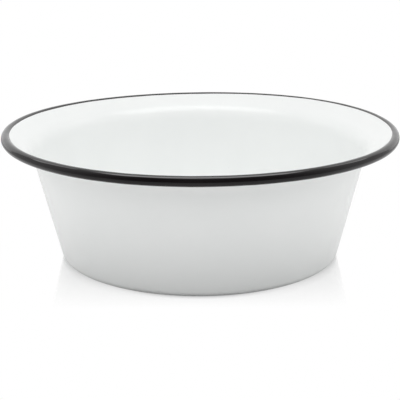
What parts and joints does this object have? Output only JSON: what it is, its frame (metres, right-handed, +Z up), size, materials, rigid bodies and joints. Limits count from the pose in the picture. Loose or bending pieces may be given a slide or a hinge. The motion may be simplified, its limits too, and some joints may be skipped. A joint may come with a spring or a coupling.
{
  "type": "enamel basin bowl",
  "caption": "Round white enamelled steel basin with a flat foot, a straight flared wall, a sloping lip and a hollow rolled rim in black, for washing, mixing or serving.",
  "frame": {"origin": "on the surface that the bowl stands on, under the centre of the bowl", "axes": "+Z up along the bowl's axis; X and Y are level, and the bowl is the same from every side"},
  "size_m": [0.3, 0.3, 0.0983],
  "materials": {
    "steel": "pickled low-carbon sheet, bare inside the roll",
    "ground_enamel": "gloss",
    "white_enamel": "gloss",
    "black_enamel": "gloss"
  },
  "bodies": {
    "root": {"steel_pan": "steel", "inner_ground_coat": "ground_enamel", "outer_ground_coat": "ground_enamel", "inner_white_coat": "white_enamel", "outer_white_coat": "white_enamel", "black_rim_coat": "black_enamel"}
  },
  "joints": []
}
